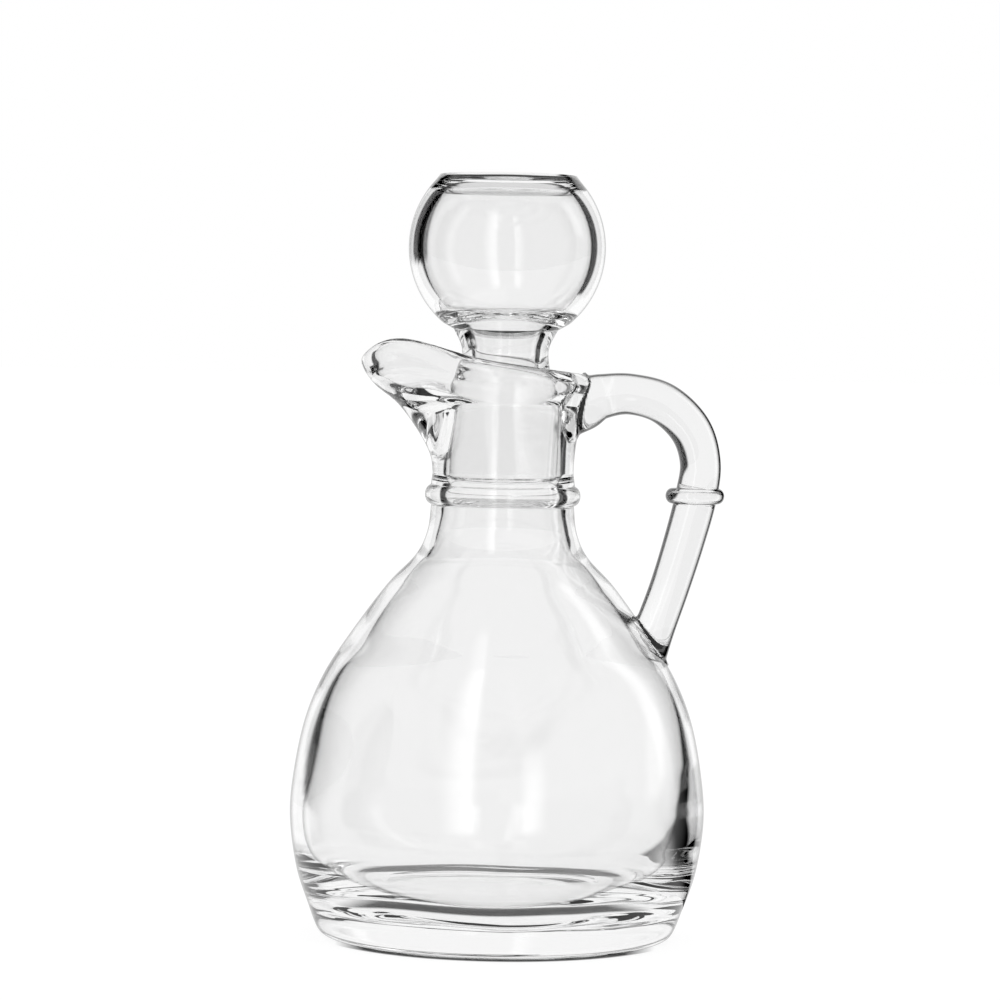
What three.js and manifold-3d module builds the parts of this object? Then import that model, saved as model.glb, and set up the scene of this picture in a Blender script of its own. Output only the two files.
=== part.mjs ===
// A small clear glass cruet for oil or vinegar, with its loose hollow ball stopper.
// Millimetres, +Z up. It stands on Z = 0, the spout points along -X and the handle is on +X.

import * as THREE from 'three';
import { mergeVertices } from 'three/addons/utils/BufferGeometryUtils.js';
import Module from 'manifold-3d';

const wasm = await Module();
wasm.setup();

// Driving dimensions

// Body and foot
const footRadius = 31.8;
const pushUpRadius = 23.5;
const pushUpDepth = 1.2;
const bodyRadius = 39.4;
const bodyWidestAt = 22.5;
const baseThickness = 6.4;
const cavityRadius = 37.0;

// Neck and the bead round it
const neckRadius = 13.4;
const boreRadius = 11.0;
const beadHeight = 83.9;
const beadReach = 14.8;
const beadHalfHeight = 1.9;

// Lip, low beside the handle and drawn out into the spout
const lipStart = 88.0;
const boreTop = 101.6;
const rimRadius = 15.1;
const rimHeight = 107.1;
const spoutRimRadius = 25.7;
const spoutRimHeight = 115.25;
const spoutNarrowness = 10;
const rimSlant = 0.46;
const crestNarrowness = 7;
const tipDip = 0.52;
const tipDipNarrowness = 42;

// Handle and its collar
const handleDepthRatio = 1.12;
const handleDepthLimit = 4.8;
const collarCentre = [36.5, 84.4];
const collarRadius = 5.6;
const collarHalfHeight = 1.5;
const collarRounding = 1.3;
const handleSeat = 1.2;

// Stopper
const ballRadius = 18.7;
const ballCentre = 130.8;
const topRadius = 13.0;
const topHeight = 144.5;
const topRounding = 0.7;
const topDish = 0.7;
const topThickness = 2.7;
const ballWall = 2.6;
const shankRadius = 8.3;
const shankBore = 5.8;
const plugRadius = 10.6;
const plugTaper = 0.4;
const plugTop = 100.4;
const plugBottom = 85.2;
const plugWall = 2.4;

// Facets
const cruetSegments = 48;
const stopperSegments = 36;
const handleSides = 14;
const handleSteps = 30;

// The body's axis stands beside the origin, which is under the middle of the whole outline.
const axisOffset = (bodyRadius - collarCentre[0] - collarRadius) / 2;

// Outlines, as points of radius and height

function points(rows) {
  return rows.map(([radius, height]) => new THREE.Vector2(radius, height));
}

function smooth(rows, divisions) {
  return new THREE.SplineCurve(points(rows)).getPoints(divisions);
}

// A stretch of an ellipse about a centre, from one angle to another in degrees.
function arc(radius, height, halfWidth, halfHeight, fromAngle, toAngle, divisions) {
  const degree = Math.PI / 180;
  const clockwise = toAngle < fromAngle;
  const curve = new THREE.EllipseCurve(
    radius, height, halfWidth, halfHeight, fromAngle * degree, toAngle * degree, clockwise, 0,
  );
  return curve.getPoints(divisions);
}

// The underside has a shallow push-up, so the cruet stands on a flat ring.
const underside = points([
  [0, pushUpDepth],
  [pushUpRadius * 0.5, pushUpDepth * 0.8],
  [pushUpRadius * 0.85, pushUpDepth * 0.36],
  [pushUpRadius, 0],
]);

const outerWall = smooth([
  [footRadius, 0],
  [33.8, 1.2],
  [35.7, 5.8],
  [38.1, 13.0],
  [bodyRadius, bodyWidestAt],
  [38.8, 31.0],
  [36.8, 41.0],
  [33.4, 49.5],
  [28.2, 57.7],
  [21.6, 66.7],
  [16.3, 72.4],
  [14.2, 77.0],
  [13.6, beadHeight - beadHalfHeight],
], 18);

const bead = arc(13.4, beadHeight, beadReach - 13.4, beadHalfHeight, -72, 72, 6);

// Both lip outlines run up the outside, over the rim and down the inside to the bore.
const lipAtHandle = smooth([
  [neckRadius, lipStart],
  [13.5, 91.0],
  [13.9, 94.5],
  [14.6, 98.5],
  [15.5, 102.3],
  [rimRadius + 1.25, 105.3],
  [rimRadius, rimHeight],
  [rimRadius - 1.3, 105.6],
  [12.9, 104.0],
  [11.9, 102.7],
  [boreRadius, boreTop],
], 20);

const lipAtSpout = smooth([
  [neckRadius, lipStart],
  [14.0, 92.0],
  [16.4, 97.5],
  [20.3, 103.7],
  [25.0, 107.5],
  [spoutRimRadius + 1.6, 112.6],
  [spoutRimRadius, spoutRimHeight],
  [spoutRimRadius - 1.2, 112.9],
  [23.3, 108.3],
  [17.0, 103.9],
  [boreRadius, boreTop],
], 20);

const innerWall = [
  new THREE.Vector2(boreRadius, (boreTop + beadHeight) / 2),
  ...smooth([
    [boreRadius, beadHeight],
    [11.5, 80.0],
    [12.9, 74.4],
    [15.8, 70.2],
    [20.9, 64.0],
    [26.2, 56.5],
    [30.7, 50.0],
    [34.0, 41.2],
    [36.2, 31.5],
    [cavityRadius, 24.0],
    [36.0, 16.5],
    [33.8, 11.0],
    [29.8, baseThickness + 1.1],
    [22.5, baseThickness],
  ], 15),
  new THREE.Vector2(0, baseThickness),
];

// Solids

// A closed geometry, as a solid that can be joined and cut.
function solid(geometry) {
  geometry.deleteAttribute('normal');
  geometry.deleteAttribute('uv');
  const merged = mergeVertices(geometry, 1e-4);
  const corners = merged.index.array;
  const triangles = [];
  for (let k = 0; k < corners.length; k += 3) {
    const [a, b, c] = corners.slice(k, k + 3);
    if (a !== b && b !== c && c !== a) {
      triangles.push(a, b, c);
    }
  }
  return new wasm.Manifold(new wasm.Mesh({
    numProp: 3,
    vertProperties: new Float32Array(merged.getAttribute('position').array),
    triVerts: new Uint32Array(triangles),
  }));
}

// The rim slants up evenly from the handle, rises to a crest on each side of the spout and dips at its tip.
function spoutWeights(facing) {
  const crest = THREE.MathUtils.lerp(facing ** crestNarrowness, facing, rimSlant);
  const dip = tipDip * facing ** tipDipNarrowness;
  return { reach: facing ** spoutNarrowness, rise: crest - dip };
}

// Turns an outline, drawing each point out towards its twin in the outline at the spout.
function turned(outline, segments, outlineAtSpout = outline) {
  const lathe = new THREE.LatheGeometry(outline, segments, Math.PI / 2);
  const position = lathe.getAttribute('position');
  for (let k = 0; k < position.count; k += 1) {
    const here = outline[k % outline.length];
    const there = outlineAtSpout[k % outline.length];
    if (here.equals(there)) {
      continue;
    }
    const facing = Math.max(0, (1 - position.getX(k) / here.x) / 2);
    const { reach, rise } = spoutWeights(facing);
    const radius = THREE.MathUtils.lerp(here.x, there.x, reach);
    const height = THREE.MathUtils.lerp(here.y, there.y, rise);
    position.setX(k, position.getX(k) * radius / here.x);
    position.setZ(k, position.getZ(k) * radius / here.x);
    position.setY(k, height);
  }
  return solid(lathe.rotateX(Math.PI / 2));
}

// Bends a closed cylinder along stations of X, Z and half width, all in the plane Y = 0.
function swept(stations, sides, steps) {
  const path = new THREE.CatmullRomCurve3(
    stations.map(([x, z]) => new THREE.Vector3(x, 0, z)), false, 'catmullrom',
  );
  const halfWidths = new THREE.CatmullRomCurve3(
    stations.map(([, , halfWidth]) => new THREE.Vector3(halfWidth, 0, 0)), false, 'catmullrom',
  );
  const tube = new THREE.CylinderGeometry(1, 1, 1, sides, steps);
  const position = tube.getAttribute('position');
  const sideways = new THREE.Vector3(0, 1, 0);
  for (let k = 0; k < position.count; k += 1) {
    const along = 0.5 - position.getY(k);
    const outward = sideways.clone().cross(path.getTangent(along));
    const halfWidth = halfWidths.getPoint(along).x;
    const halfDepth = Math.min(halfWidth * handleDepthRatio, handleDepthLimit);
    const vertex = path.getPoint(along)
      .addScaledVector(outward, position.getX(k) * halfWidth)
      .addScaledVector(sideways, position.getZ(k) * halfDepth);
    position.setXYZ(k, vertex.x, vertex.y, vertex.z);
  }
  return solid(tube);
}

function cruetGlass() {
  const outside = [...outerWall, ...bead];
  const shell = turned(
    [...underside, ...outside, ...lipAtHandle, ...innerWall],
    cruetSegments,
    [...underside, ...outside, ...lipAtSpout, ...innerWall],
  );

  // The handle widens into the lip above and into the shoulder below.
  const handle = swept([
    [12.0, 101.2, 6.4],
    [15.0, 101.5, 5.8],
    [18.6, 103.0, 4.3],
    [24.0, 103.5, 3.9],
    [30.3, 101.8, 4.0],
    [35.4, 97.0, 4.0],
    [37.4, 90.8, 3.9],
    [36.7, 84.2, 4.0],
    [34.6, 75.7, 3.9],
    [32.0, 66.9, 3.8],
    [29.1, 58.4, 3.9],
    [26.4, 50.0, 4.3],
  ], handleSides, handleSteps);

  const collarEdge = arc(
    collarRadius - collarRounding, 0, collarRounding, collarHalfHeight, -90, 90, 6,
  );
  const collar = turned([
    new THREE.Vector2(0, -collarHalfHeight),
    ...collarEdge,
    new THREE.Vector2(0, collarHalfHeight),
  ], 24).translate([collarCentre[0], 0, collarCentre[1]]);

  // Both ends of the handle stop inside the glass of the wall.
  const rim = lipAtHandle.reduce((best, point) => (point.y > best.y ? point : best));
  const lipOutside = lipAtHandle.slice(0, lipAtHandle.indexOf(rim) - 1);
  const seat = [...outside, ...lipOutside].map(
    (point) => new THREE.Vector2(point.x - handleSeat, point.y),
  );
  const core = turned([
    new THREE.Vector2(0, seat[0].y),
    ...seat,
    new THREE.Vector2(rim.x, 2 * rimHeight),
    new THREE.Vector2(0, 2 * rimHeight),
  ], cruetSegments);

  return shell.add(handle.add(collar).subtract(core));
}

function stopperGlass() {
  const ballTopAngle = THREE.MathUtils.radToDeg(Math.acos((topRadius + topRounding) / ballRadius));
  const cavityBall = ballRadius - ballWall;
  const outline = [
    ...points([
      [0, topHeight - topDish],
      [topRadius * 0.62, topHeight - topDish * 0.75],
      [topRadius * 0.9, topHeight - topDish * 0.2],
      [topRadius, topHeight],
    ]),
    ...arc(0, ballCentre, ballRadius, ballRadius, ballTopAngle, -50, 10),
    ...smooth([
      [9.9, 115.3],
      [shankRadius, 111.9],
      [shankRadius, 104.5],
      [plugRadius - 0.6, plugTop + 1.2],
      [plugRadius, plugTop],
    ], 6),
    ...points([
      [plugRadius - plugTaper, plugBottom + 0.8],
      [plugRadius - plugTaper - 0.8, plugBottom],
      [plugRadius - plugTaper - plugWall + 0.8, plugBottom],
      [plugRadius - plugTaper - plugWall, plugBottom + 0.8],
    ]),
    ...smooth([
      [plugRadius - plugWall, plugTop - 2.5],
      [shankBore + 0.3, plugTop + 3.2],
      [shankBore, 111.0],
      [shankBore + 0.5, 115.6],
      [8.6, 118.4],
    ], 6),
    ...arc(0, ballCentre, cavityBall, cavityBall, -40, 36, 6),
    ...points([
      [topRadius - 1.2, topHeight - topThickness],
      [0, topHeight - topDish - topThickness],
    ]),
  ];
  return turned(outline.reverse(), stopperSegments);
}

// The object

const glass = new THREE.MeshStandardMaterial({
  color: 0xeef0f0,
  roughness: 0.03,
  metalness: 0,
  transparent: true,
  opacity: 0.4,
});

function piece(name, manifold, material) {
  const { vertProperties, triVerts } = manifold.getMesh();
  const geometry = new THREE.BufferGeometry();
  geometry.setAttribute('position', new THREE.BufferAttribute(vertProperties, 3));
  geometry.setIndex(new THREE.BufferAttribute(triVerts, 1));
  geometry.computeVertexNormals();
  const mesh = new THREE.Mesh(geometry, material);
  mesh.name = name;
  return mesh;
}

const group = new THREE.Group();
group.position.x = axisOffset;
group.add(piece('cruet', cruetGlass(), glass));
group.add(piece('stopper', stopperGlass(), glass.clone()));

export default group;
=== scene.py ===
"""The looks of a small clear glass cruet with a loose hollow ball stopper.

Both pieces of glass are rebuilt here as fine smooth meshes of the frame's own form. Outlines are in
millimetres, as radius and height about the bottle's axis, and everything is scaled to metres at the end.
"""

import math

import bpy
import numpy as np
from mathutils import Matrix, Vector, noise
from mathutils.bvhtree import BVHTree


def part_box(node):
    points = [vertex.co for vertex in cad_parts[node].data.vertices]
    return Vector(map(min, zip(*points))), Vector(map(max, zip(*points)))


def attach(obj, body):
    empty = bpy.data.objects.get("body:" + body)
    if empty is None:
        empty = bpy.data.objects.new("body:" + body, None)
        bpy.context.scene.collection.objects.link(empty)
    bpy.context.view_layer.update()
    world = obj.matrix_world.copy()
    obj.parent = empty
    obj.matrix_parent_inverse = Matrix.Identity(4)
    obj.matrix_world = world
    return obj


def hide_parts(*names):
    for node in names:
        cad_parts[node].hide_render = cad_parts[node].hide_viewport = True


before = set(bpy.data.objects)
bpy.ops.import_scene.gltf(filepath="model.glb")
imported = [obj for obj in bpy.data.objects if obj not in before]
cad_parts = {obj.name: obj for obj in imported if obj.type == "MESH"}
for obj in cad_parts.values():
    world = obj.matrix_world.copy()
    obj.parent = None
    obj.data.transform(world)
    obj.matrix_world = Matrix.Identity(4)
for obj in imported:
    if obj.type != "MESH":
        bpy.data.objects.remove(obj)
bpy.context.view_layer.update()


def rows(*pairs):
    return np.array(pairs, float)


MM = 0.001
stopper_low, stopper_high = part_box("stopper")
AXIS_X = (stopper_low.x + stopper_high.x) / 2

# Body and foot
FOOT_RADIUS = 31.8
PUSH_UP_RADIUS = 23.5
PUSH_UP_DEPTH = 1.2
BODY_RADIUS = 39.4
BODY_WIDEST_AT = 22.5
BASE_THICKNESS = 6.4
CAVITY_RADIUS = 37.0

# The blown inside of the body: waves, and how much thicker its wall is at the spout's side,
# where that begins between two heights, and at the handle's side, as heights and thicknesses
UNEVEN_UP_TO = (46, 76)
WALL_WAVE = 0.6
WALL_WAVE_LENGTH = 26
WALL_WAVE_FROM_RADIUS = 25
WALL_WAVE_SQUASH = 1.3
WALL_WAVE_PLACE = Vector((3.1, 0.4, 1.7))
FLOOR_WAVE = 0.6
FLOOR_WAVE_LENGTH = 17
FLOOR_WAVE_PLACE = Vector((0.3, 5.2, 0.8))
FLOOR_WAVE_UP_TO = (8, 18)
SPOUT_SIDE_WALL = 0.9
SPOUT_SIDE_FROM = (24, 46)
HANDLE_SIDE_WALL = rows((6, 0.5), (10.7, 1.4), (18.3, 1.5), (26, 1.0), (33.5, 0.2), (42, 0))

# Neck, bead and lip
NECK_RADIUS = 13.4
BORE_RADIUS = 11.0
BEAD_HEIGHT = 83.9
BEAD_REACH = 14.8
BEAD_HALF_HEIGHT = 1.9
LIP_START = 88.0
BORE_TOP = 101.6
RIM_RADIUS = 15.1
RIM_HEIGHT = 107.1
SPOUT_RIM_RADIUS = 25.7
SPOUT_RIM_HEIGHT = 115.25
SPOUT_NARROWNESS = 10
LIP_START_NARROWNESS = 3
RIM_SLANT = 0.46
CREST_NARROWNESS = 7
TIP_DIP = 0.52
TIP_DIP_NARROWNESS = 42

# Handle and collar
HANDLE_DEPTH_RATIO = 1.12
HANDLE_DEPTH_LIMIT = 4.8
COLLAR_CENTRE = (36.5, 84.4)
COLLAR_RADIUS = 5.6
COLLAR_HALF_HEIGHT = 1.5
COLLAR_ROUNDING = 1.3
HANDLE_SEAT = 1.2
HANDLE_FILLET = 0.7

# Stopper
BALL_RADIUS = 18.7
BALL_CENTRE = 130.8
TOP_RADIUS = 13.0
TOP_HEIGHT = 144.5
TOP_ROUNDING = 0.7
TOP_DISH = 0.7
TOP_THICKNESS = 2.7
BALL_WALL = 2.6
SHANK_RADIUS = 8.3
CAVITY_TAIL = 105.9
PLUG_RADIUS = 10.6
PLUG_TAPER = 0.4
PLUG_TOP = 100.4
PLUG_BOTTOM = 85.2

# Fineness of the meshes
CRUET_SEGMENTS = 192
STOPPER_SEGMENTS = 144
COLLAR_SEGMENTS = 56
HANDLE_SIDES = 40
HANDLE_STEPS = 220

# Camera, at the photograph's angle
CAMERA_OUT = 0.75
CAMERA_HEIGHT = 0.109
CAMERA_ROLL = math.radians(1.07)
FRAME_HALF_WIDTH = 0.095
SENSOR_WIDTH = 36.0
TARGET = Vector((AXIS_X - 0.0005, 0.0, 0.08295))
CAMERA_PLACE = TARGET + Vector((0.0, -CAMERA_OUT, CAMERA_HEIGHT - TARGET.z))
CAMERA_DISTANCE = (CAMERA_PLACE - TARGET).length

# Glass: how much light it passes face on, and where its painted shade, a dark edge painted into its colour,
# begins and is full (Facing)
# The colour that the painted edge shade falls to where the glass is seen edge on
PAINTED_EDGE_SHADE = 0.0
WALL_LOOK = (0.93, 0.78, 0.9)
ROD_LOOK = (0.87, 0.42, 0.66)
GLASS_IOR = 1.51
RIPPLE_SCALE = 90.0
RIPPLE_STRENGTH = 0.04
RIPPLE_DEPTH = 0.0004
SMEAR_SCALE = 260.0
SMEAR_RANGE = (0.45, 0.8)
SMEAR_ROUGHNESS = 0.02

# Rays pass through many walls of glass, one behind another
GLASS_BOUNCES = 24
REFLECTION_BOUNCES = 8

# Floor: its tone and glow, a hair's drop that keeps it clear of the foot's underside, and a painted contact
# shadow:
# a dark ring in the glow where the foot stands, as radius and share of the glow. The painted shadow fades
# out between two distances aside
FLOOR_SIZE = 30.0
FLOOR_TONE = 0.15
FLOOR_GLOW = 0.9
FLOOR_DROP = 0.1
CONTACT_SHADOW_RING = rows((27.2, 1), (28.8, 0.03), (FOOT_RADIUS + 1.0, 0.03), (FOOT_RADIUS + 2.2, 1))
CONTACT_REACH = 50
CONTACT_SIDES = (24, 30)

# Light round the glass: a drum open behind the glass. Its opening reaches so many degrees to each side,
# changing between two heights in mm above the floor, and fades out at its top
TENT_RADIUS = 105
TENT_TOP = 212
DOME_HEIGHT = 40
TENT_ROW_HEIGHT = 4
TENT_COLUMN_ANGLE = 2
OPEN_RIGHT = 52
OPEN_RIGHT_LOW = 49
RIGHT_LOW_TO = (44, 58)
OPEN_RIGHT_HIGH = 43
RIGHT_HIGH_FROM = (76, 92)
OPEN_LEFT = 50
OPEN_LEFT_HIGH = 27
LEFT_HIGH_FROM = (118, 132)
OPEN_LEFT_LOW_EXTRA = 22
LEFT_LOW_TO = (18, 46)
OPEN_TOP = (195, 207)
OPEN_SOFTNESS = 5
# The drum's front half, and its dome above the opening, are lit evenly from these angles and heights on
FRONT_LIGHT = 0.75
FRONT_FROM = (66, 86)
DOME_FROM = (216, 232)
# A disc just above the floor carries the right side's light inwards, in rings of these radii
FLAG_HEIGHT = 1
FLAG_RADII = (48, 64, 84)
# Each soft strip's azimuths from the camera, their softness, heights and strength
STRIP_ENDS = (14, 20)
STRIPS = (
    ((-15, -12), (13, 3), (18, 200), 1.75),
    ((13, 16), (3, 8), (20, 50), 1.5),
    ((92, 98), (6, 6), (24, 200), 1.0),
)


# Outlines

def spline(points, per_span):
    """A Catmull-Rom curve through the points, with per_span steps between each two of them."""
    padded = np.vstack([points[0], points, points[-1]])
    curve = []
    for k in range(len(points) - 1):
        before, start, end, after = padded[k:k + 4]
        leave, arrive = (end - before) / 2, (after - start) / 2
        for t in np.arange(per_span) / per_span:
            curve.append(
                (2 * start - 2 * end + leave + arrive) * t ** 3
                + (3 * end - 3 * start - 2 * leave - arrive) * t ** 2
                + leave * t + start
            )
    return np.array(curve + [points[-1]])


def arc(radius, height, half_width, half_height, from_angle, to_angle, steps):
    """A stretch of an ellipse about a centre, between two angles in degrees."""
    angles = np.radians(np.linspace(from_angle, to_angle, steps + 1))
    return np.column_stack([radius + half_width * np.cos(angles), height + half_height * np.sin(angles)])


def straight(start, end, steps):
    """Evenly spaced points from start up to, but not including, end."""
    t = (np.arange(steps) / steps)[:, None]
    return np.array(start) * (1 - t) + np.array(end) * t


UNDERSIDE = np.vstack([
    spline(rows(
        (0, PUSH_UP_DEPTH),
        (PUSH_UP_RADIUS * 0.5, PUSH_UP_DEPTH * 0.8),
        (PUSH_UP_RADIUS * 0.85, PUSH_UP_DEPTH * 0.36),
        (PUSH_UP_RADIUS, 0),
    ), 6),
    straight((PUSH_UP_RADIUS + 1, 0), (FOOT_RADIUS, 0), 4),
])

OUTER_WALL = spline(rows(
    (FOOT_RADIUS, 0),
    (33.8, 1.2),
    (35.7, 5.8),
    (38.1, 13.0),
    (BODY_RADIUS, BODY_WIDEST_AT),
    (38.8, 31.0),
    (36.8, 41.0),
    (33.4, 49.5),
    (28.2, 57.7),
    (21.6, 66.7),
    (16.3, 72.4),
    (14.2, 77.0),
    (13.6, BEAD_HEIGHT - BEAD_HALF_HEIGHT),
), 12)

BEAD = arc(NECK_RADIUS, BEAD_HEIGHT, BEAD_REACH - NECK_RADIUS, BEAD_HALF_HEIGHT, -76, 76, 14)

LIP_AT_HANDLE = spline(rows(
    (NECK_RADIUS, LIP_START),
    (13.5, 91.0),
    (13.9, 94.5),
    (14.6, 98.5),
    (15.5, 102.3),
    (RIM_RADIUS + 1.25, 105.3),
    (RIM_RADIUS, RIM_HEIGHT),
    (RIM_RADIUS - 1.3, 105.6),
    (12.9, 104.0),
    (11.9, 102.7),
    (BORE_RADIUS, BORE_TOP),
), 7)

LIP_AT_SPOUT = spline(rows(
    (NECK_RADIUS, LIP_START),
    (14.0, 92.0),
    (16.4, 97.5),
    (20.3, 103.7),
    (25.0, 107.5),
    (SPOUT_RIM_RADIUS + 1.6, 112.6),
    (SPOUT_RIM_RADIUS, SPOUT_RIM_HEIGHT),
    (SPOUT_RIM_RADIUS - 1.2, 112.9),
    (23.3, 108.3),
    (17.0, 103.9),
    (BORE_RADIUS, BORE_TOP),
), 7)

INNER_WALL = np.vstack([
    straight((BORE_RADIUS, BORE_TOP - 1.5), (BORE_RADIUS, BEAD_HEIGHT), 9),
    spline(rows(
        (BORE_RADIUS, BEAD_HEIGHT),
        (11.5, 80.0),
        (12.9, 74.4),
        (15.8, 70.2),
        (20.9, 64.0),
        (26.2, 56.5),
        (30.7, 50.0),
        (34.0, 41.2),
        (36.2, 31.5),
        (CAVITY_RADIUS, 24.0),
        (36.0, 17.0),
        (33.9, 12.2),
        (31.0, BASE_THICKNESS + 2.7),
        (27.0, BASE_THICKNESS + 1.0),
        (22.5, BASE_THICKNESS + 0.25),
        (18.5, BASE_THICKNESS),
    ), 11),
    straight((16.0, BASE_THICKNESS), (0, BASE_THICKNESS), 6),
    rows((0, BASE_THICKNESS)),
])

HANDLE = rows(
    (12.0, 101.2, 6.4),
    (15.0, 101.7, 5.3),
    (18.6, 103.0, 4.3),
    (24.0, 103.5, 3.9),
    (30.3, 101.8, 4.0),
    (35.4, 97.0, 4.0),
    (37.4, 90.8, 3.9),
    (36.7, 84.2, 4.0),
    (34.6, 75.7, 3.9),
    (32.0, 66.9, 3.8),
    (29.1, 58.4, 3.9),
    (26.4, 50.0, 4.3),
)


# Meshes

def ramp(value, low, high):
    """0 up to low, 1 from high on, and a smooth rise between them."""
    t = min(max((value - low) / (high - low), 0.0), 1.0)
    return t * t * (3 - 2 * t)


def mesh_object(name, vertices, faces):
    """A smooth-shaded object from vertices in millimetres about the bottle's axis."""
    mesh = bpy.data.meshes.new(name)
    placed = np.array(vertices, float) * MM + np.array([AXIS_X, 0, 0])
    mesh.from_pydata(placed.tolist(), [], faces)
    mesh.validate()
    mesh.shade_smooth()
    piece = bpy.data.objects.new(name, mesh)
    bpy.context.scene.collection.objects.link(piece)
    return piece


def ring_faces(rings):
    """Faces joining rings of vertex numbers, where a ring of one vertex is a pole."""
    faces = []
    for lower, upper in zip(rings[:-1], rings[1:]):
        count = max(len(lower), len(upper))
        for k in range(count):
            around = (k + 1) % count
            corners = [
                lower[k % len(lower)], lower[around % len(lower)],
                upper[around % len(upper)], upper[k % len(upper)],
            ]
            faces.append(tuple(dict.fromkeys(corners)))
    return faces


def turned(name, outline, segments, outline_at_spout=None, shape=None):
    """Turns an outline, drawing each point towards its twin in the outline at the spout."""
    if outline_at_spout is None:
        outline_at_spout = outline
    angles = np.arange(segments) * math.tau / segments
    facing = (1 - np.cos(angles)) / 2
    crest = facing * RIM_SLANT + facing ** CREST_NARROWNESS * (1 - RIM_SLANT)
    rise = crest - TIP_DIP * facing ** TIP_DIP_NARROWNESS
    vertices, rings = [], []
    for here, there in zip(outline, outline_at_spout):
        if here[0] < 1e-6:
            rings.append([len(vertices)])
            vertices.append((0.0, 0.0, here[1]))
            continue
        narrowness = np.interp(
            here[1], (LIP_START, RIM_HEIGHT), (LIP_START_NARROWNESS, SPOUT_NARROWNESS)
        )
        radius = here[0] + (there[0] - here[0]) * facing ** narrowness
        height = here[1] + (there[1] - here[1]) * rise
        rings.append(list(range(len(vertices), len(vertices) + segments)))
        vertices.extend(zip(radius * np.cos(angles), radius * np.sin(angles), height))
    vertices = np.array(vertices, float)
    if shape is not None:
        vertices = shape(vertices)
    return mesh_object(name, vertices, ring_faces(rings))


def swept(name, stations, sides, steps_per_span, wall):
    """Sweeps an oval along stations of X, Z and half width, filleted where it meets the wall."""
    first, last = 2 * stations[0] - stations[1], 2 * stations[-1] - stations[-2]
    line = spline(np.vstack([first, stations, last]), steps_per_span)[steps_per_span:-steps_per_span]
    tangents = np.gradient(line[:, :2], axis=0)
    tangents /= np.linalg.norm(tangents, axis=1)[:, None]
    angles = np.arange(sides) * math.tau / sides
    vertices, rings = [], []
    for (x, z, half_width), (along_x, along_z) in zip(line, tangents):
        half_depth = min(half_width * HANDLE_DEPTH_RATIO, HANDLE_DEPTH_LIMIT)
        centre = np.array([x, 0, z])
        outward = np.array([along_z, 0, -along_x])
        rings.append(list(range(len(vertices), len(vertices) + sides)))
        for angle in angles:
            offset = outward * half_width * math.cos(angle) + np.array([0, half_depth * math.sin(angle), 0])
            vertices.append(filleted(centre, offset, wall))
    faces = ring_faces(rings) + [tuple(rings[0][::-1]), tuple(rings[-1])]
    return mesh_object(name, vertices, faces)


def filleted(centre, offset, wall):
    """A point of the handle's skin, pushed outwards in a round fillet as it nears the wall."""
    point = centre + offset
    where = Vector(point * MM) + Vector((AXIS_X, 0, 0))
    nearest, normal, _, distance = wall.find_nearest(where)
    clear = distance / MM if (where - nearest).dot(normal) > 0 else 0.0
    if clear >= HANDLE_FILLET:
        return point
    push = HANDLE_FILLET - math.sqrt(HANDLE_FILLET ** 2 - (HANDLE_FILLET - clear) ** 2)
    return point + offset / np.linalg.norm(offset) * push


def dressed(piece, *materials):
    """Gives a piece its materials, of which the last covers it."""
    for material in materials:
        piece.data.materials.append(material)
    for face in piece.data.polygons:
        face.material_index = len(materials) - 1
    return piece


def combine(target, other, operation):
    """Joins or cuts target by other, which is then removed."""
    modifier = target.modifiers.new(operation.lower(), "BOOLEAN")
    modifier.operation = operation
    modifier.solver = "MANIFOLD"
    modifier.object = other
    evaluated = target.evaluated_get(bpy.context.evaluated_depsgraph_get())
    mesh = bpy.data.meshes.new_from_object(evaluated)
    target.modifiers.clear()
    target.data = mesh
    bpy.data.objects.remove(other)
    return target


def uneven_inside(vertices):
    """Makes the body's inside uneven. It moves the vertices of the shell's inner wall alone."""
    outside_rows = len(UNDERSIDE) - 1 + len(OUTER_WALL) + len(BEAD) + len(LIP_AT_HANDLE)
    first = 1 + outside_rows * CRUET_SEGMENTS
    for vertex in vertices[first:]:
        x, y, z = vertex
        ease = 1 - ramp(z, *UNEVEN_UP_TO)
        if ease == 0.0:
            continue
        radius = math.hypot(x, y)
        spot = Vector((x, y, z * WALL_WAVE_SQUASH)) / WALL_WAVE_LENGTH + WALL_WAVE_PLACE
        swell = WALL_WAVE * noise.noise(spot)
        if x < 0:
            thicker = SPOUT_SIDE_WALL * ramp(z, *SPOUT_SIDE_FROM)
        else:
            thicker = np.interp(z, *HANDLE_SIDE_WALL.T)
        outwards = min(radius / WALL_WAVE_FROM_RADIUS, 1.0) * ease / max(radius, 1)
        vertex[0] += (swell - thicker) * x * outwards
        vertex[1] += swell * y * outwards
        low = np.interp(z, FLOOR_WAVE_UP_TO, (1, 0))
        wave = noise.noise(Vector((x, y, 0)) / FLOOR_WAVE_LENGTH + FLOOR_WAVE_PLACE)
        vertex[2] += low * FLOOR_WAVE * wave
    return vertices


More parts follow.
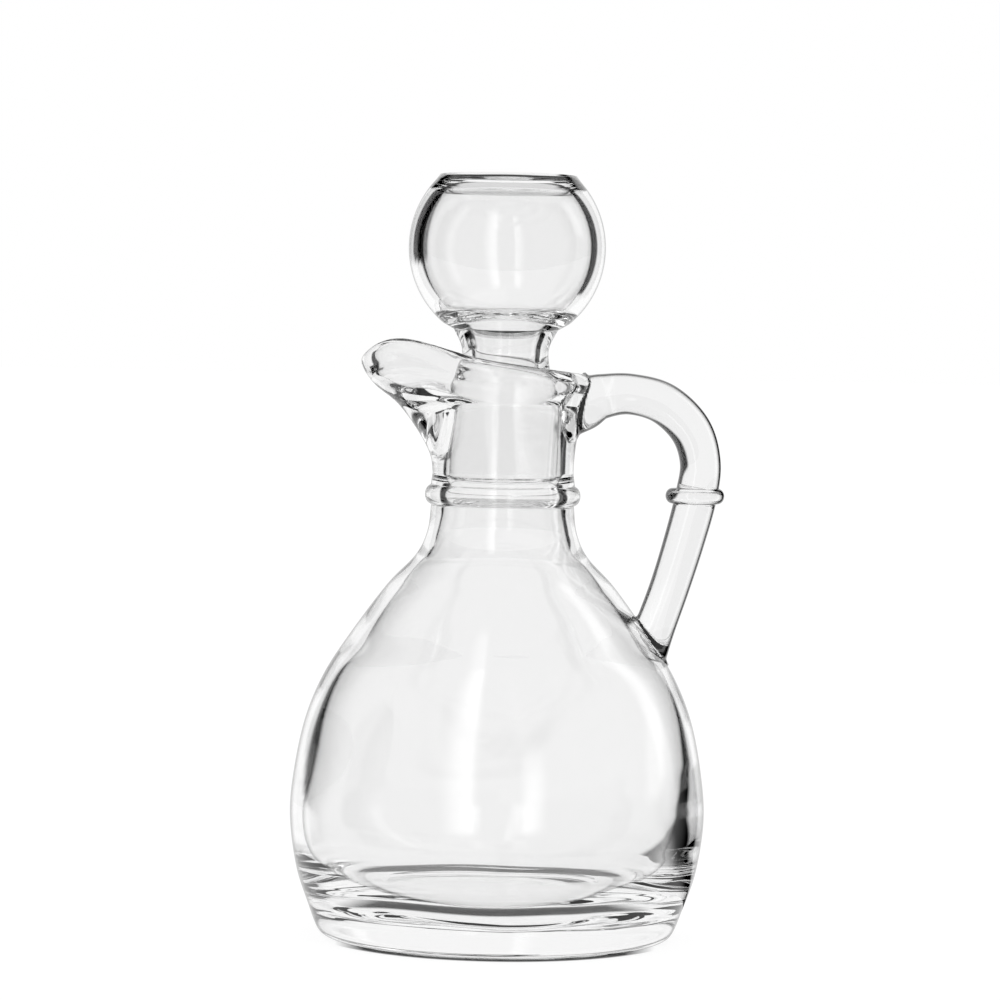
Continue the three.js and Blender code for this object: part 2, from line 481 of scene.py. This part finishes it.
def make_cruet():
    outside = np.vstack([OUTER_WALL, BEAD])
    shell = turned(
        "cruet_glass",
        np.vstack([UNDERSIDE, outside, LIP_AT_HANDLE, INNER_WALL]),
        CRUET_SEGMENTS,
        np.vstack([UNDERSIDE, outside, LIP_AT_SPOUT, INNER_WALL]),
        uneven_inside,
    )
    glass = clear_glass("cruet_glass", *WALL_LOOK)
    rod_glass = clear_glass("handle_glass", *ROD_LOOK)
    dressed(shell, glass).data.materials.append(rod_glass)
    wall = BVHTree.FromObject(shell, bpy.context.evaluated_depsgraph_get())
    handle = swept("handle", HANDLE, HANDLE_SIDES, HANDLE_STEPS // (len(HANDLE) - 1), wall)
    collar_edge = arc(COLLAR_RADIUS - COLLAR_ROUNDING, 0, COLLAR_ROUNDING, COLLAR_HALF_HEIGHT, -90, 90, 14)
    collar = turned("collar", np.vstack([
        rows((0, -COLLAR_HALF_HEIGHT)), collar_edge, rows((0, COLLAR_HALF_HEIGHT)),
    ]), COLLAR_SEGMENTS)
    collar.data.transform(Matrix.Translation((
        COLLAR_CENTRE[0] * MM, 0, COLLAR_CENTRE[1] * MM,
    )))
    rim = LIP_AT_HANDLE[:, 1].argmax()
    seat = np.vstack([outside, LIP_AT_HANDLE[:rim - 3]]) - np.array([HANDLE_SEAT, 0])
    core = turned("core", np.vstack([
        rows((0, seat[0][1])), seat,
        rows((LIP_AT_HANDLE[rim][0], 2 * RIM_HEIGHT), (0, 2 * RIM_HEIGHT)),
    ]), CRUET_SEGMENTS)
    for rod in (handle, collar, core):
        dressed(rod, glass, rod_glass)
    handle = combine(combine(handle, collar, "UNION"), core, "DIFFERENCE")
    return combine(shell, handle, "UNION")


def make_stopper():
    ball_top_angle = math.degrees(math.acos((TOP_RADIUS + TOP_ROUNDING) / BALL_RADIUS))
    cavity_ball = BALL_RADIUS - BALL_WALL
    outline = np.vstack([
        spline(rows(
            (0, TOP_HEIGHT - TOP_DISH),
            (TOP_RADIUS * 0.62, TOP_HEIGHT - TOP_DISH * 0.75),
            (TOP_RADIUS * 0.9, TOP_HEIGHT - TOP_DISH * 0.2),
            (TOP_RADIUS, TOP_HEIGHT),
        ), 5),
        arc(0, BALL_CENTRE, BALL_RADIUS, BALL_RADIUS, ball_top_angle, -50, 44),
        spline(rows(
            (9.9, 115.3),
            (SHANK_RADIUS, 111.9),
            (SHANK_RADIUS + 0.1, 108.6),
            (SHANK_RADIUS + 1.0, 105.0),
            (PLUG_RADIUS - 0.3, 102.2),
            (PLUG_RADIUS, PLUG_TOP),
        ), 6),
        straight((PLUG_RADIUS, PLUG_TOP - 1.5), (PLUG_RADIUS - PLUG_TAPER, PLUG_BOTTOM + 1.2), 8),
        arc(PLUG_RADIUS - PLUG_TAPER - 1.2, PLUG_BOTTOM + 1.2, 1.2, 1.2, 0, -90, 8),
        rows((6.0, PLUG_BOTTOM), (3.0, PLUG_BOTTOM), (0, PLUG_BOTTOM)),
    ])
    cavity = np.vstack([
        spline(rows(
            (0, CAVITY_TAIL),
            (3.4, CAVITY_TAIL),
            (5.0, CAVITY_TAIL + 0.4),
            (5.7, CAVITY_TAIL + 1.6),
            (5.8, CAVITY_TAIL + 4.0),
            (5.95, 112.5),
            (6.6, 115.0),
            (7.2, 117.2),
            (7.7, 118.4),
            (8.5, 118.9),
            (9.6, 119.05),
            (10.7, 119.25),
        ), 8),
        arc(0, BALL_CENTRE, cavity_ball, cavity_ball, -44, 36, 40),
        spline(rows(
            (TOP_RADIUS - 1.2, TOP_HEIGHT - TOP_THICKNESS),
            (TOP_RADIUS * 0.6, TOP_HEIGHT - TOP_DISH * 0.7 - TOP_THICKNESS),
            (0, TOP_HEIGHT - TOP_DISH - TOP_THICKNESS),
        ), 6),
    ])
    glass = clear_glass("stopper_glass", *WALL_LOOK)
    hollow = dressed(turned("hollow", cavity, STOPPER_SEGMENTS), glass)
    stopper = dressed(turned("stopper_glass", outline[::-1], STOPPER_SEGMENTS), glass)
    return combine(stopper, hollow, "DIFFERENCE")


# Materials

def maths(tree, operation, *inputs):
    """The output of a Math node, whose inputs are numbers or other nodes' outputs."""
    node = tree.nodes.new("ShaderNodeMath")
    node.operation = operation
    for socket, value in zip(node.inputs, inputs):
        if isinstance(value, bpy.types.NodeSocket):
            tree.links.new(value, socket)
        else:
            socket.default_value = value
    return node.outputs["Value"]


def clear_glass(name, tone, edge_from, edge_to):
    """Colourless glass with a mould's faint ripple and painted shade, darker where it is entered edge on.
    """
    material = bpy.data.materials.new(name)
    material.use_nodes = True
    tree = material.node_tree
    nodes, links = tree.nodes, tree.links
    shader = nodes["Principled BSDF"]
    shader.inputs["Transmission Weight"].default_value = 1.0
    shader.inputs["IOR"].default_value = GLASS_IOR
    # Painted shade: the colour falls to a dark edge where the surface is seen edge on, but faces seen from
    # within keep the glass's tone
    edge = nodes.new("ShaderNodeLayerWeight")
    edge_shade = nodes.new("ShaderNodeMapRange")
    edge_shade.interpolation_type = "SMOOTHSTEP"
    edge_shade.inputs["From Min"].default_value = edge_from
    edge_shade.inputs["From Max"].default_value = edge_to
    edge_shade.inputs["To Min"].default_value = tone
    edge_shade.inputs["To Max"].default_value = PAINTED_EDGE_SHADE
    links.new(edge.outputs["Facing"], edge_shade.inputs["Value"])
    from_within = maths(tree, "MULTIPLY", nodes.new("ShaderNodeNewGeometry").outputs["Backfacing"], tone)
    links.new(maths(tree, "MAXIMUM", from_within, edge_shade.outputs["Result"]), shader.inputs["Base Color"])
    place = nodes.new("ShaderNodeTexCoord")
    ripple = nodes.new("ShaderNodeTexNoise")
    ripple.inputs["Scale"].default_value = RIPPLE_SCALE
    ripple.inputs["Detail"].default_value = 1.0
    bump = nodes.new("ShaderNodeBump")
    bump.inputs["Strength"].default_value = RIPPLE_STRENGTH
    bump.inputs["Distance"].default_value = RIPPLE_DEPTH
    smear = nodes.new("ShaderNodeTexNoise")
    smear.inputs["Scale"].default_value = SMEAR_SCALE
    smear.inputs["Detail"].default_value = 4.0
    gloss = nodes.new("ShaderNodeMapRange")
    gloss.inputs["From Min"].default_value = SMEAR_RANGE[0]
    gloss.inputs["From Max"].default_value = SMEAR_RANGE[1]
    gloss.inputs["To Max"].default_value = SMEAR_ROUGHNESS
    links.new(place.outputs["Object"], ripple.inputs["Vector"])
    links.new(place.outputs["Object"], smear.inputs["Vector"])
    links.new(ripple.outputs["Fac"], bump.inputs["Height"])
    links.new(bump.outputs["Normal"], shader.inputs["Normal"])
    links.new(smear.outputs["Fac"], gloss.inputs["Value"])
    links.new(gloss.outputs["Result"], shader.inputs["Roughness"])
    return material


def plain_floor():
    """A pale self-lit floor with a painted contact shadow: its glow is dark in a ring where the foot stands
    on it.
    """
    material = bpy.data.materials.new("pale_floor")
    material.use_nodes = True
    tree = material.node_tree
    nodes, links = tree.nodes, tree.links
    shader = nodes["Principled BSDF"]
    shader.inputs["Base Color"].default_value = (FLOOR_TONE, FLOOR_TONE, FLOOR_TONE, 1)
    shader.inputs["Roughness"].default_value = 1.0
    shader.inputs["Specular IOR Level"].default_value = 0.0
    shader.inputs["Emission Color"].default_value = (1, 1, 1, 1)
    place = nodes.new("ShaderNodeTexCoord")
    offset = nodes.new("ShaderNodeVectorMath")
    offset.operation = "DISTANCE"
    offset.inputs[1].default_value = (AXIS_X, 0, 0)
    links.new(place.outputs["Object"], offset.inputs[0])
    scale = maths(tree, "DIVIDE", offset.outputs["Value"], CONTACT_REACH * MM)
    scale.node.use_clamp = True
    # Painted contact shadow: the glow drops to a dark ring where the foot's rim stands
    contact_shadow = nodes.new("ShaderNodeFloatCurve")
    curve = contact_shadow.mapping.curves[0]
    curve.points[0].location = (0, 1)
    curve.points[1].location = (1, 1)
    for radius, light in CONTACT_SHADOW_RING:
        curve.points.new(radius / CONTACT_REACH, light)
    for point in curve.points:
        point.handle_type = "VECTOR"
    contact_shadow.mapping.update()
    links.new(scale, contact_shadow.inputs["Value"])
    # The painted contact shadow fades out to each side of the foot
    split = nodes.new("ShaderNodeSeparateXYZ")
    links.new(place.outputs["Object"], split.inputs["Vector"])
    aside = maths(tree, "ABSOLUTE", maths(tree, "SUBTRACT", split.outputs["X"], AXIS_X))
    at_sides = nodes.new("ShaderNodeMapRange")
    at_sides.inputs["From Min"].default_value = CONTACT_SIDES[0] * MM
    at_sides.inputs["From Max"].default_value = CONTACT_SIDES[1] * MM
    links.new(aside, at_sides.inputs["Value"])
    light = maths(tree, "MAXIMUM", contact_shadow.outputs["Value"], at_sides.outputs["Result"])
    links.new(maths(tree, "MULTIPLY", light, FLOOR_GLOW), shader.inputs["Emission Strength"])
    return material


def tent_glow():
    """Plain light, as strong as the mesh's own attribute says."""
    material = bpy.data.materials.new("tent")
    material.use_nodes = True
    nodes, links = material.node_tree.nodes, material.node_tree.links
    nodes.clear()
    reader = nodes.new("ShaderNodeAttribute")
    reader.attribute_name = "light"
    emission = nodes.new("ShaderNodeEmission")
    output = nodes.new("ShaderNodeOutputMaterial")
    links.new(reader.outputs["Fac"], emission.inputs["Strength"])
    links.new(emission.outputs["Emission"], output.inputs["Surface"])
    return material


# Studio

def make_camera():
    data = bpy.data.cameras.new("camera")
    data.sensor_width = SENSOR_WIDTH
    data.lens = SENSOR_WIDTH / 2 * CAMERA_DISTANCE / FRAME_HALF_WIDTH
    camera = bpy.data.objects.new("camera", data)
    bpy.context.scene.collection.objects.link(camera)
    turn = (TARGET - CAMERA_PLACE).to_track_quat("-Z", "Y").to_matrix().to_4x4()
    camera.matrix_world = Matrix.Translation(CAMERA_PLACE) @ turn @ Matrix.Rotation(CAMERA_ROLL, 4, "Z")
    bpy.context.scene.camera = camera
    return camera


def inside(value, low, high, below, above):
    """1 between low and high, fading to 0 over the softness below and the one above."""
    return ramp(value, low - below, low) * (1 - ramp(value, high, high + above))


def tent_light(azimuth, height):
    """The tent's light at an azimuth and a height in mm above the floor: an opening, and soft strips."""
    right = 180 - azimuth
    low = 1 - ramp(height, *RIGHT_LOW_TO)
    high = ramp(height, *RIGHT_HIGH_FROM)
    right_edge = OPEN_RIGHT + (OPEN_RIGHT_LOW - OPEN_RIGHT) * low + (OPEN_RIGHT_HIGH - OPEN_RIGHT) * high
    left_edge = OPEN_LEFT + (OPEN_LEFT_HIGH - OPEN_LEFT) * ramp(height, *LEFT_HIGH_FROM)
    left_edge += OPEN_LEFT_LOW_EXTRA * (1 - ramp(height, *LEFT_LOW_TO))
    opening = inside(right, -left_edge, right_edge, OPEN_SOFTNESS, OPEN_SOFTNESS)
    opening *= 1 - ramp(height, *OPEN_TOP)
    front = FRONT_LIGHT * max(ramp(abs(right), *FRONT_FROM), ramp(height, *DOME_FROM))
    around = (azimuth + 180) % 360 - 180
    strips = sum(
        strength * inside(around, *across, *softness) * inside(height, *up, *STRIP_ENDS)
        for across, softness, up, strength in STRIPS
    )
    return max(opening, front + strips)


def make_tent(camera):
    """A surround fixed to the camera, which only the glass sees: a tall drum with a domed top."""
    azimuths = np.arange(0, 360, TENT_COLUMN_ANGLE)
    dome = np.radians(np.arange(10, 91, 10))
    rings = [(radius, FLAG_HEIGHT) for radius in FLAG_RADII]
    rings += [(TENT_RADIUS, height) for height in np.arange(FLAG_HEIGHT, TENT_TOP + 1, TENT_ROW_HEIGHT)]
    rings += [
        (TENT_RADIUS * max(math.cos(tilt), 0.01), TENT_TOP + DOME_HEIGHT * math.sin(tilt)) for tilt in dome
    ]
    vertices, lights = [], []
    for radius, height in rings:
        for azimuth in azimuths:
            a = math.radians(azimuth)
            vertices.append((radius * math.sin(a) * MM, height * MM - TARGET.z, radius * math.cos(a) * MM))
            at_left_foot = height == FLAG_HEIGHT and azimuth > 180
            lights.append(1.0 if at_left_foot else tent_light(azimuth, height))
    count = len(azimuths)
    faces = []
    for row in range(len(rings) - 1):
        for k in range(count):
            around = (k + 1) % count
            lower, upper = row * count, (row + 1) * count
            face = (lower + k, lower + around, upper + around, upper + k)
            # A face as bright as the background is left out, and the background shows through instead
            if not all(0.999 < lights[corner] < 1.001 for corner in face):
                faces.append(face)
    mesh = bpy.data.meshes.new("tent")
    mesh.from_pydata(vertices, [], faces)
    mesh.attributes.new("light", "FLOAT", "POINT").data.foreach_set("value", lights)
    mesh.materials.append(tent_glow())
    tent = bpy.data.objects.new("tent", mesh)
    bpy.context.scene.collection.objects.link(tent)
    tent.parent = camera
    tent.location = (0, 0, -CAMERA_DISTANCE)
    tent.visible_camera = False
    tent.visible_diffuse = False
    tent.visible_shadow = False


def make_floor():
    mesh = bpy.data.meshes.new("floor")
    corners = ((-1, -1), (1, -1), (1, 1), (-1, 1))
    points = [(x * FLOOR_SIZE, y * FLOOR_SIZE, -FLOOR_DROP * MM) for x, y in corners]
    mesh.from_pydata(points, [], [(0, 1, 2, 3)])
    mesh.materials.append(plain_floor())
    floor = bpy.data.objects.new("floor", mesh)
    bpy.context.scene.collection.objects.link(floor)


def make_world():
    world = bpy.data.worlds.new("studio")
    bpy.context.scene.world = world
    world.use_nodes = True
    world.node_tree.nodes["Background"].inputs["Color"].default_value = (1, 1, 1, 1)
    world.node_tree.nodes["Background"].inputs["Strength"].default_value = 1.0


def make_studio():
    camera = make_camera()
    make_floor()
    make_world()
    make_tent(camera)
    scene = bpy.context.scene
    scene.view_settings.view_transform = "Standard"
    scene.cycles.max_bounces = GLASS_BOUNCES
    scene.cycles.transmission_bounces = GLASS_BOUNCES
    scene.cycles.glossy_bounces = REFLECTION_BOUNCES


make_studio()
for make, node in ((make_cruet, "cruet"), (make_stopper, "stopper")):
    piece = make()
    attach(piece, "root")
    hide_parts(node)
